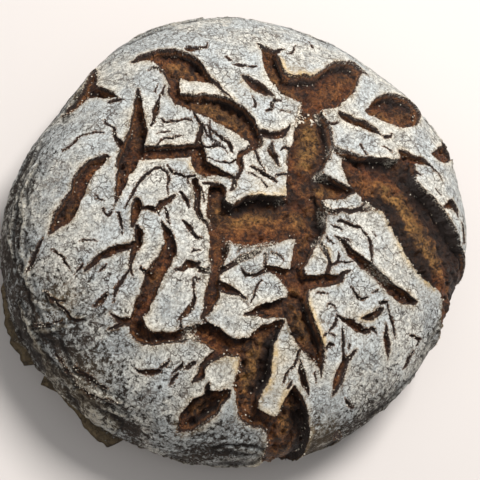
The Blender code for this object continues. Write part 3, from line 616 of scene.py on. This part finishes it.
# Where a floor is nearly black along a lip, partly burnt crust and partly painted shade under the lip, as
# (x, y, half width).
STRIPS_BURNT_AND_SHADED = (
    ((53, 6, 1.6), (60, 4.4, 4.6), (66, -1.6, 6.6), (71.4, -9.4, 6.8), (78, -17.4, 6.6), (85, -22.8, 6),
     (92, -27, 3.6), (97, -31.5, 2.2), (98, -40, 1.4)),
    ((77, 27, 2.2), (77.5, 20, 4.4), (83.6, 14, 5.2), (89.4, 9, 6.6), (94.8, 4, 7.2), (100.4, -2, 7.4),
     (105, -9, 7.6), (109, -17, 6.4), (112, -26, 5), (113, -36, 4)),
    ((54, 26.8, 1.4), (60, 25.6, 2.8), (66, 27, 3.2), (70, 29, 1.6)),
    ((6.5, -62, 1.2), (2.5, -69, 2.2), (1.8, -78, 2.3), (0.4, -84, 2.4), (-3, -90, 2.0)),
    ((-21, -2.4, 1.4), (-15, -7.4, 1.8), (-8, -4.2, 1.8), (-1, -1, 1.8), (7, -1.2, 1.4)),
    ((22, -96, 2.0), (25, -102, 2.4), (27, -109, 2.6), (27, -120, 2.0)),
    ((11, -97, 1.5), (12.4, -92, 1.6), (15, -87.5, 1.0)),
)


def spots(places):
    """The sum of soft round spots, at each plan point."""
    total = np.zeros(len(plan))
    for x, y, radius, amount in places:
        away = (plan[:, 0] - x) ** 2 + (plan[:, 1] - y) ** 2
        total += amount * np.exp(-away / (2 * (0.6 * radius) ** 2))
    return np.clip(total, 0, 1)


lower_left = rise(0.1, 0.95, -(plan[:, 0] * 0.62 + plan[:, 1] * 0.78) / widest)
rim_bare = 0.38 * rise(0.8, 1.03, share_out) + 0.42 * rise(-2, 12, beyond_rim)
rim_bare += 0.12 * lower_left * rise(0.6, 0.95, share_out)
flour = 1 - spots(BARE) - rim_bare + folds_here * 0.4 * folds + 0.25 * rings * rise(-10, 2, beyond_rim)
flour = np.clip(flour * (1 - 0.7 * rise(0.1, 0.8, -rings)), 0.1, 1)
foot_tan = rise(BELLY_HEIGHT - 3.5, BELLY_HEIGHT - 1, beyond_rim)
near_edge = rise(-3.2, -0.2, cracks["big"])
cream = np.clip(near_edge * (0.22 + 0.9 * spots(CREAM)) + 0.25 * spots(CREAM), 0, 1)
# Golden spots, partly the crumb's own colour and partly painted highlight, with more painted highlight along
# the raised middle of a wide crack.
gold_and_highlight = np.clip(spots(GOLDEN_AND_HIGHLIGHT) * (0.35 + 0.65 * cracks["ridge"]) + 0.3 * cracks["ridge"], 0, 1)
# Painted shade under the standing lip of a deep crack, joined by the black spots and strips, burnt and
# shaded.
burnt_and_shaded = np.clip(0.56 * cracks["under"] * rise(1.5, 5, cracks["drop"]) + spots(FLOOR_BURNT_AND_SHADED), 0, 1)
for strip in STRIPS_BURNT_AND_SHADED:
    in_strip, _, _ = across_crack(ragged(plan), smooth_way(strip))
    burnt_and_shaded = np.maximum(burnt_and_shaded, 0.95 * rise(-1.2, 1.0, in_strip))
gold_and_highlight = gold_and_highlight * (1 - 0.8 * burnt_and_shaded)
# Painted shade: dark in the groove at each fold's foot, in the low parts of the wrinkles, and between the
# rings.
fold_painted_shade = folds_here * (-0.5 * folds - 0.1) + 0.7 * np.clip(-rings, 0, 1) + fold_groove
torn_edge = rise(-1.2, -0.2, cracks["inside"]) * (1 - rise(1.0, 3.4, cracks["inside"]))
looks = {
    "inside": np.clip(cracks["inside"], -12, 12),
    "depth": cracks["drop"],
    "flour": flour,
    "cream": cream,
    "gold_and_highlight": gold_and_highlight,
    "rust": spots(RUSTY),
    "burnt_and_shaded": burnt_and_shaded,
    "tan": foot_tan,
    "groove": np.clip(fold_painted_shade, 0, 1) * (1 - in_floor),
    "crest": np.clip(folds_here * (0.5 * folds - 0.2) + 1.2 * fold_high - 0.2, 0, 1),
    "crumbly": spots(CRUMBLY) * torn_edge,
    "plan_x": plan[:, 0],
    "plan_y": plan[:, 1],
}
for vert, place in zip(loaf_mesh.verts, placed * MM):
    vert.co = place
layers = {name: loaf_mesh.verts.layers.float.new(name) for name in looks}
for name, layer in layers.items():
    for vert, value in zip(loaf_mesh.verts, looks[name].tolist()):
        vert[layer] = value

# The underside: the bottom ring drawn in to the middle, flat on the hearth.
UNDERSIDE_RINGS = (0.985, 0.9, 0.72, 0.5, 0.25)
ring = [edge for edge in loaf_mesh.edges if edge.is_boundary]
before = 1.0
for share in UNDERSIDE_RINGS:
    grown = bmesh.ops.extrude_edge_only(loaf_mesh, edges=ring)["geom"]
    verts = [part for part in grown if isinstance(part, bmesh.types.BMVert)]
    bmesh.ops.scale(loaf_mesh, verts=verts, vec=(share / before, share / before, 1))
    for vert in verts:
        vert.co.z = 0
    ring = [part for part in grown if isinstance(part, bmesh.types.BMEdge)]
    before = share
bmesh.ops.contextual_create(loaf_mesh, geom=ring)
middle_face = [face for face in loaf_mesh.faces if len(face.verts) > 4]
bmesh.ops.poke(loaf_mesh, faces=middle_face)
bmesh.ops.recalc_face_normals(loaf_mesh, faces=loaf_mesh.faces)
bmesh.ops.triangulate(loaf_mesh, faces=loaf_mesh.faces)
for face in loaf_mesh.faces:
    face.smooth = True
loaf_mesh.normal_update()


def srgb(red, green, blue):
    """A colour from its everyday 0 to 255 values."""
    return tuple((v / 12.92 if v <= 0.04045 else ((v + 0.055) / 1.055) ** 2.4) for v in
                 (red / 255, green / 255, blue / 255)) + (1.0,)


def put(tree, kind, values=None, out=0, **settings):
    """Add a shader node, fill its sockets with values or other nodes' outputs, and give one output."""
    added = tree.nodes.new("ShaderNode" + kind)
    for name, value in settings.items():
        setattr(added, name, value)
    for key, value in (values or {}).items():
        socket = added.inputs[key]
        if isinstance(value, bpy.types.NodeSocket):
            tree.links.new(value, socket)
        else:
            socket.default_value = value
    return added.outputs[out]


def math_node(tree, operation, first, second=0.0, clamp=False):
    return put(tree, "Math", {0: first, 1: second}, operation=operation, use_clamp=clamp)


def times(tree, first, second):
    return math_node(tree, "MULTIPLY", first, second)


def plus(tree, first, second):
    return math_node(tree, "ADD", first, second)


def ramp(tree, value, low, high, start=0.0, end=1.0):
    """start below low, end above high, and smooth between."""
    ends = {"From Min": low, "From Max": high, "To Min": start, "To Max": end}
    return put(tree, "MapRange", {"Value": value, **ends}, interpolation_type="SMOOTHSTEP")


def blend(tree, share, first, second):
    """The first colour where share is 0, the second where it is 1."""
    return put(tree, "Mix", {0: share, 6: first, 7: second}, out=2, data_type="RGBA")


def speckle(tree, where, size_mm, detail, rough, warp=0.0):
    """Noise from 0 to 1 with lumps of a size in millimetres."""
    return put(tree, "TexNoise", {"Vector": where, "Scale": 1 / (size_mm * MM), "Detail": detail,
                                  "Roughness": rough, "Distortion": warp})


def attribute(tree, name):
    return put(tree, "Attribute", out="Fac", attribute_name=name)


def grained(tree, name, grain, low, high, start, end):
    """One of the mesh's looks, broken up by a grain."""
    return times(tree, attribute(tree, name), ramp(tree, grain, low, high, start, end))


crust = bpy.data.materials.new("floured_crust")
crust.use_nodes = True
tree = crust.node_tree
shader = tree.nodes["Principled BSDF"]
where = put(tree, "TexCoord", out="Object")
inside = attribute(tree, "inside")
edge_grain = speckle(tree, where, 0.9, 2, 0.7)
inside_torn = plus(tree, inside, ramp(tree, edge_grain, 0.3, 0.7, -0.2, 0.2))
skin_cover = ramp(tree, inside_torn, -0.1, 0.1, 1, 0)

# Flour: thick and nearly white near the cracks, greyer in the middle of a plate, broken into grains where
# it wore thin. The skin under it is charcoal brown.
grains = speckle(tree, where, 2.1, 6, 0.8)
clumps = speckle(tree, where, 4.5, 4, 0.62)
cover = plus(tree, times(tree, grains, 0.74), times(tree, clumps, 0.26))
needed = ramp(tree, attribute(tree, "flour"), 0, 1, 0.575, 0.395)
flour_cover = ramp(tree, math_node(tree, "SUBTRACT", cover, needed), -0.02, 0.028)
tone = speckle(tree, where, 20, 3, 0.5)
flour_colour = blend(tree, ramp(tree, tone, 0.4, 0.6), srgb(207, 210, 207), srgb(228, 223, 210))
middle_clumps = ramp(tree, speckle(tree, where, 3.0, 5, 0.7), 0.38, 0.62)
middle_grey = times(tree, ramp(tree, inside, -6.5, -1.5, 1, 0.25), middle_clumps)
flour_colour = blend(tree, times(tree, middle_grey, 0.75), flour_colour, srgb(143, 146, 145))
dusty = ramp(tree, speckle(tree, where, 1.1, 4, 0.8), 0.45, 0.57)
flour_colour = blend(tree, times(tree, dusty, 0.62), flour_colour, srgb(116, 108, 99))
bare_colour = blend(tree, ramp(tree, grains, 0.3, 0.62), srgb(24, 19, 16), srgb(66, 56, 47))
plate_colour = blend(tree, flour_cover, bare_colour, flour_colour)

# Hairlines: the skin crazed into little tiles and winding creases as it stretched.
sway = put(tree, "TexNoise", {"Vector": where, "Scale": 260.0, "Detail": 3.0}, out="Color")
shift = put(tree, "VectorMath", {0: sway, "Scale": 0.006}, operation="SCALE")
bent = put(tree, "VectorMath", {0: where, 1: shift}, operation="ADD")
tiles = put(tree, "TexVoronoi", {"Vector": bent, "Scale": 190.0}, out="Distance", feature="DISTANCE_TO_EDGE")
some_tiles = ramp(tree, speckle(tree, where, 11, 2, 0.5), 0.42, 0.58)
tile_line = times(tree, ramp(tree, tiles, 0.01, 0.06, 1, 0), some_tiles)


def crease_lines(size_mm, width, warp):
    """Thin winding lines where a noise passes its middle value."""
    level = speckle(tree, where, size_mm, 3, 0.55, warp)
    away = math_node(tree, "ABSOLUTE", math_node(tree, "SUBTRACT", level, 0.5))
    return ramp(tree, away, 0.0, width, 1, 0)


some_creases = ramp(tree, speckle(tree, where, 9, 2, 0.5), 0.45, 0.6)
crease = times(tree, crease_lines(7.0, 0.018, 1.2), some_creases)
fine_crease = times(tree, crease_lines(2.6, 0.03, 0.6), ramp(tree, clumps, 0.42, 0.6, 0, 0.8))
hairline = math_node(tree, "MAXIMUM", math_node(tree, "MAXIMUM", tile_line, crease), fine_crease, clamp=True)
plate_colour = blend(tree, times(tree, hairline, 0.82), plate_colour, srgb(72, 57, 47))
cream_grain = grained(tree, "cream", clumps, 0.36, 0.58, 0.45, 1.0)
plate_colour = blend(tree, cream_grain, plate_colour, srgb(216, 186, 136))
lip = ramp(tree, inside_torn, -0.6, -0.05)
lip_grain = ramp(tree, edge_grain, 0.42, 0.6, 0.1, 0.8)
plate_colour = blend(tree, times(tree, lip, lip_grain), plate_colour, srgb(142, 100, 62))

# Folds are paler along their crests, painted shade darkens their grooves, the foot is tan, and crumbled
# edges are specked with dark crust.
crest_share = grained(tree, "crest", grains, 0.45, 0.55, 0.05, 0.75)
plate_colour = blend(tree, crest_share, plate_colour, srgb(186, 174, 150))
# Painted shade in the fold and ring grooves.
plate_colour = blend(tree, times(tree, attribute(tree, "groove"), 0.85), plate_colour, srgb(30, 23, 19))
tan_share = grained(tree, "tan", clumps, 0.38, 0.6, 0.2, 0.8)
plate_colour = blend(tree, tan_share, plate_colour, srgb(136, 117, 88))
crumb_specks = ramp(tree, speckle(tree, where, 0.9, 3, 0.7), 0.5, 0.56)
crumbly = attribute(tree, "crumbly")
dark_specks = times(tree, crumbly, math_node(tree, "SUBTRACT", 1.0, crumb_specks))
plate_colour = blend(tree, times(tree, dark_specks, 0.9), plate_colour, srgb(58, 38, 27))

# Floors: torn crumb baked brown; golden, partly the crumb's own colour and partly a painted highlight on
# the raised middle; nearly black under the lips, partly burnt and partly painted shade.
torn = speckle(tree, where, 4.2, 7, 0.7, 0.5)
fine_torn = speckle(tree, where, 1.2, 5, 0.75)
floor_colour = blend(tree, ramp(tree, torn, 0.38, 0.6), srgb(40, 24, 16), srgb(114, 67, 36))
rust_grain = grained(tree, "rust", torn, 0.38, 0.56, 0.1, 0.95)
floor_colour = blend(tree, rust_grain, floor_colour, srgb(134, 69, 33))
# Golden crumb, partly a painted highlight.
gold_and_highlight_grain = grained(tree, "gold_and_highlight", torn, 0.4, 0.58, 0.1, 1.0)
gold_colour = blend(tree, ramp(tree, fine_torn, 0.4, 0.6), srgb(124, 86, 40), srgb(170, 128, 72))
floor_colour = blend(tree, gold_and_highlight_grain, floor_colour, gold_colour)
floor_colour = blend(tree, ramp(tree, fine_torn, 0.36, 0.48, 0.9, 0), floor_colour, srgb(24, 14, 10))
# Painted highlights: bright orange glints on the high grains of the crumb.
painted_glints = times(tree, ramp(tree, fine_torn, 0.53, 0.64, 0, 0.7), ramp(tree, torn, 0.4, 0.56, 0.15, 1.0))
floor_colour = blend(tree, painted_glints, floor_colour, srgb(190, 126, 68))
burnt_patches = ramp(tree, speckle(tree, where, 7.5, 4, 0.65), 0.42, 0.53, 0.4, 0)
floor_colour = blend(tree, burnt_patches, floor_colour, srgb(44, 27, 20))
# Painted shade on the floor beside a lip, darkest at the lip.
painted_shade_by_lip = times(tree, ramp(tree, inside_torn, 0.6, 3.8, 0.8, 0), ramp(tree, torn, 0.4, 0.6, 1, 0.5))
floor_colour = blend(tree, painted_shade_by_lip, floor_colour, srgb(46, 29, 26))
cells = put(tree, "TexVoronoi", {"Vector": bent, "Scale": 330.0}, out="Distance")
some_holes = ramp(tree, speckle(tree, where, 5, 2, 0.5), 0.48, 0.6)
holes = times(tree, ramp(tree, cells, 0.2, 0.42, 1, 0), some_holes)
# Painted shade in the pores: their open cells go nearly black.
floor_colour = blend(tree, times(tree, holes, 0.8), floor_colour, srgb(26, 16, 11))
# The black look: burnt crust and painted shade under the lips.
floor_colour = blend(tree, times(tree, attribute(tree, "burnt_and_shaded"), 0.85), floor_colour, srgb(27, 18, 14))
# A wall's colour: a lit brown, and painted shade where the floor is marked black and on the walls of
# shallow, narrow cracks.
lit_wall = blend(tree, ramp(tree, fine_torn, 0.4, 0.6), srgb(62, 38, 24), srgb(158, 102, 56))
wall_painted_shade = math_node(tree, "MAXIMUM", ramp(tree, attribute(tree, "burnt_and_shaded"), 0.15, 0.5),
                      ramp(tree, attribute(tree, "depth"), 1.2, 3.2, 1, 0))
wall_colour = blend(tree, wall_painted_shade, lit_wall, srgb(38, 26, 19))
wall = times(tree, ramp(tree, inside_torn, 0.0, 0.3), ramp(tree, inside_torn, 0.8, 1.5, 0.85, 0))
floor_colour = blend(tree, wall, floor_colour, wall_colour)
pale_grain = ramp(tree, speckle(tree, where, 1.0, 3, 0.75), 0.505, 0.55)
light_specks = times(tree, ramp(tree, crumbly, 0.1, 0.7), pale_grain)
floor_colour = blend(tree, light_specks, floor_colour, srgb(212, 202, 184))
tree.links.new(blend(tree, skin_cover, floor_colour, plate_colour), shader.inputs["Base Color"])
rough = blend(tree, skin_cover, (0.5, 0.5, 0.5, 1), (0.95, 0.95, 0.95, 1))
tree.links.new(rough, shader.inputs["Roughness"])
shader.inputs["Specular IOR Level"].default_value = 0.35
plate_bump = plus(tree, times(tree, flour_cover, 0.35), times(tree, hairline, -0.7))
plate_bump = plus(tree, plate_bump, times(tree, grains, 0.5))
floor_bump = plus(tree, times(tree, torn, 3.0), times(tree, fine_torn, 2.6))
floor_bump = plus(tree, floor_bump, times(tree, holes, -1.0))
relief = put(tree, "Mix", {0: skin_cover, 2: floor_bump, 3: plate_bump}, out=0)
bump = put(tree, "Bump", {"Height": relief, "Strength": 0.9, "Distance": 0.6 * MM}, out="Normal")
tree.links.new(bump, shader.inputs["Normal"])

# Each piece of the loaf has its own map. The crown lies flat on one. On the other lie the underside
# and, above it, the side in three strips.
CROWN_MAP = 252.0  # width of the crown's map, mm
SIDE_MAP = 350.0
UNDER_HALF = 118.0  # the middle of the underside is this far from the left and the foot of the map
STRIP_START = (4, 249)  # where the first strip begins, and the height of its belly line
STRIP_STEP = 34
SEAM = -5.0  # the crown ends this far inside the belly ring
MOST_TRIANGLES = 199000


def beyond_belly(x, y):
    """How far a plan point lies outside the belly's outline."""
    return math.hypot(x, y) - float(outline_radius(np.array(math.atan2(y, x))))


plan_x, plan_y = layers["plan_x"], layers["plan_y"]
normal_layer = loaf_mesh.verts.layers.float_vector.new("whole_normal")
for vert in loaf_mesh.verts:
    vert[normal_layer] = vert.normal
for vert, normal, is_snapped in zip(loaf_mesh.verts, wall_normals.tolist(), snapped.tolist()):
    if is_snapped:
        vert[normal_layer] = normal
beyond = {vert: beyond_belly(vert[plan_x], vert[plan_y]) for vert in loaf_mesh.verts}
side_layer = loaf_mesh.faces.layers.int.new("is_side")
for face in loaf_mesh.faces:
    reach = sum(beyond[vert] for vert in face.verts) / len(face.verts)
    face[side_layer] = int(reach > SEAM or min(vert.co.z for vert in face.verts) < 1e-5)


def loaf_piece(name, is_side):
    """One piece of the loaf's skin, with its own map and the normals of the whole."""
    part = loaf_mesh.copy()
    flag = part.faces.layers.int["is_side"]
    bmesh.ops.delete(part, geom=[face for face in part.faces if face[flag] != is_side], context="FACES")
    map_layer = part.loops.layers.uv.new("OFBake")
    x_layer, y_layer = part.verts.layers.float["plan_x"], part.verts.layers.float["plan_y"]
    for face in part.faces:
        under = all(vert.co.z < 1e-5 for vert in face.verts)
        middle = face.calc_center_median()
        around = math.atan2(middle.y, middle.x)
        third = min(int((around + math.pi) / math.tau * 3), 2)
        for loop in face.loops:
            vert = loop.vert
            if not is_side:
                u, v = vert[x_layer] / CROWN_MAP + 0.5, vert[y_layer] / CROWN_MAP + 0.5
            elif under:
                u = (vert.co.x / MM + UNDER_HALF) / SIDE_MAP
                v = (vert.co.y / MM + UNDER_HALF) / SIDE_MAP
            else:
                turned = (math.atan2(vert.co.y, vert.co.x) - around + math.pi) % math.tau - math.pi + around
                run = (turned + math.pi) * MEAN_RADIUS - third * math.tau * MEAN_RADIUS / 3
                u = (STRIP_START[0] + run) / SIDE_MAP
                down = beyond_belly(vert[x_layer], vert[y_layer])
                v = (STRIP_START[1] + STRIP_STEP * third + down) / SIDE_MAP
            loop[map_layer].uv = (u, v)
    mesh = bpy.data.meshes.new(name)
    part.to_mesh(mesh)
    part.free()
    normals = np.zeros(len(mesh.vertices) * 3, np.float32)
    mesh.attributes["whole_normal"].data.foreach_get("vector", normals)
    mesh.normals_split_custom_set_from_vertices([tuple(n) for n in normals.reshape(-1, 3)])
    mesh.materials.append(crust)
    piece = bpy.data.objects.new(name, mesh)
    bpy.context.scene.collection.objects.link(piece)
    if len(mesh.polygons) > MOST_TRIANGLES:
        raise ValueError(f"{name} has {len(mesh.polygons)} triangles")
    return piece


crown = loaf_piece("crown", 0)
side = loaf_piece("side_and_underside", 1)
for piece in (crown, side):
    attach(piece, "root")
    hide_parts("loaf")

# ---------------------------------------------------------------------------------------------------------
# Crumbs and flakes: bits of floured skin that broke off where the plates tore apart. The crumbs lie on the
# torn edges, and the flakes mostly across the neck of the top crack. Each kind is one joined piece.
# ---------------------------------------------------------------------------------------------------------
CRUMB_COUNT = 2000
FLAKE_COUNT = 70
CRUMB_SIZES = (0.16, 0.5)  # half widths, mm
FLAKE_SIZES = (0.5, 1.25)


def scatter(name, likely, count, sizes, flatness, seed):
    """Small lumps of crust at plan points where they are likely, pressed lightly into the skin."""
    rng = np.random.default_rng(seed)
    chosen = rng.choice(len(plan), size=count, p=likely / likely.sum(), replace=False)
    lumps = bmesh.new()
    for at in chosen:
        half = rng.uniform(*sizes)
        tilt = Vector(outward[at]) + 0.45 * Vector(rng.normal(size=3))
        twist = Matrix.Rotation(rng.uniform(0, math.tau), 4, "Z")
        turned = tilt.to_track_quat("Z", "Y").to_matrix().to_4x4() @ twist
        shape = Matrix.Diagonal((1.0, rng.uniform(0.5, 0.95), flatness * rng.uniform(0.7, 1.3), 1.0))
        place = Vector(placed[at] + outward[at] * half * flatness * 0.6) * MM
        lump = bmesh.ops.create_icosphere(
            lumps, subdivisions=1, radius=half * MM, matrix=Matrix.Translation(place) @ turned @ shape
        )["verts"]
        for vert in lump:
            vert.co += Vector(rng.normal(size=3)) * 0.16 * half * MM * flatness
    mesh = bpy.data.meshes.new(name)
    lumps.to_mesh(mesh)
    lumps.free()
    piece = bpy.data.objects.new(name, mesh)
    bpy.context.scene.collection.objects.link(piece)
    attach(piece, "root")
    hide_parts("loaf")
    return piece


crumb_crust = bpy.data.materials.new("crumb_crust")
crumb_crust.use_nodes = True
tree = crumb_crust.node_tree
shader = tree.nodes["Principled BSDF"]
where = put(tree, "TexCoord", out="Object")
patches = speckle(tree, where, 1.6, 4, 0.7)
crumb_colour = blend(tree, ramp(tree, patches, 0.42, 0.52), srgb(112, 74, 44), srgb(224, 214, 194))
tree.links.new(crumb_colour, shader.inputs["Base Color"])
tree.links.new(ramp(tree, patches, 0.4, 0.6, 0.7, 0.95), shader.inputs["Roughness"])
crumb_grain = speckle(tree, where, 0.4, 3, 0.7)
crumb_bump = put(tree, "Bump", {"Height": crumb_grain, "Strength": 0.5, "Distance": 0.1 * MM}, out="Normal")
tree.links.new(crumb_bump, shader.inputs["Normal"])

on_edge = rise(-0.6, -0.1, cracks["inside"]) * (1 - rise(1.4, 3.4, cracks["inside"]))
beside_crack = rise(0.3, 1.5, cracks["drop"] + (cracks["inside"] < 0.3))
likely = on_edge * (0.06 + spots(CRUMBLY)) * beside_crack * (share_out < 1)
crumbs = scatter("crumbs", likely, CRUMB_COUNT, CRUMB_SIZES, 0.8, 73)
crumbs.data.materials.append(crumb_crust)
# The spots where flakes lie: across the neck of the top crack, and at two more bridges.
BRIDGE = ((17.5, 47, 3, 1.0), (22, 46.5, 3, 0.8), (28, 47.5, 3, 0.7), (-33, -65, 2.5, 0.6), (27, -4, 3, 0.5))
flakes = scatter("flakes", spots(BRIDGE) + 1e-9, FLAKE_COUNT, FLAKE_SIZES, 0.34, 79)
flakes.data.materials.append(crumb_crust)

# ---------------------------------------------------------------------------------------------------------
# The floor, lights and camera: a plain pale floor, a wide soft light over the loaf's far right, and a
# camera that looks steeply down from the front left.
# ---------------------------------------------------------------------------------------------------------
floor_mesh = bmesh.new()
bmesh.ops.create_grid(floor_mesh, x_segments=1, y_segments=1, size=3)
mesh = bpy.data.meshes.new("floor")
floor_mesh.to_mesh(mesh)
floor_mesh.free()
floor = bpy.data.objects.new("floor", mesh)
floor.location.z = -0.0004
bpy.context.scene.collection.objects.link(floor)
pale = bpy.data.materials.new("pale_floor")
pale.use_nodes = True
pale.node_tree.nodes["Principled BSDF"].inputs["Base Color"].default_value = srgb(214, 206, 200)
pale.node_tree.nodes["Principled BSDF"].inputs["Roughness"].default_value = 0.9
mesh.materials.append(pale)

world = bpy.data.worlds.new("studio")
world.use_nodes = True
world.node_tree.nodes["Background"].inputs["Color"].default_value = srgb(236, 240, 244)
world.node_tree.nodes["Background"].inputs["Strength"].default_value = 0.37
bpy.context.scene.world = world


def soft_light(name, toward, distance, size, power):
    """A square soft light in a direction from the loaf, facing it."""
    light = bpy.data.lights.new(name, "AREA")
    light.size = size
    light.energy = power
    lamp = bpy.data.objects.new(name, light)
    middle = Vector((0, 0, 0.05))
    lamp.location = middle + Vector(toward).normalized() * distance
    lamp.rotation_euler = (lamp.location - middle).to_track_quat("Z", "Y").to_euler()
    bpy.context.scene.collection.objects.link(lamp)


soft_light("window", (0.42, 0.72, 1.4), 1.3, 0.5, 22)
soft_light("fill", (-0.8, -0.5, 1.2), 1.5, 1.2, 3)

ELEVATION, AROUND = math.radians(66), math.radians(-34)
AIM = Vector((-0.002, -0.006, 0.035))
DISTANCE = 0.535
level = math.cos(ELEVATION)
back = Vector((math.sin(AROUND) * level, -math.cos(AROUND) * level, math.sin(ELEVATION)))
up = (Vector((0, 1, 0)) - back * back.y).normalized()
right = up.cross(back)
camera_data = bpy.data.cameras.new("camera")
camera_data.lens = 80
camera_data.sensor_width = 36
camera = bpy.data.objects.new("camera", camera_data)
spin = Matrix((right, up, back)).transposed().to_4x4()
camera.matrix_world = Matrix.Translation(AIM + back * DISTANCE) @ spin
bpy.context.scene.collection.objects.link(camera)
bpy.context.scene.camera = camera
bpy.context.scene.view_settings.view_transform = "Standard"
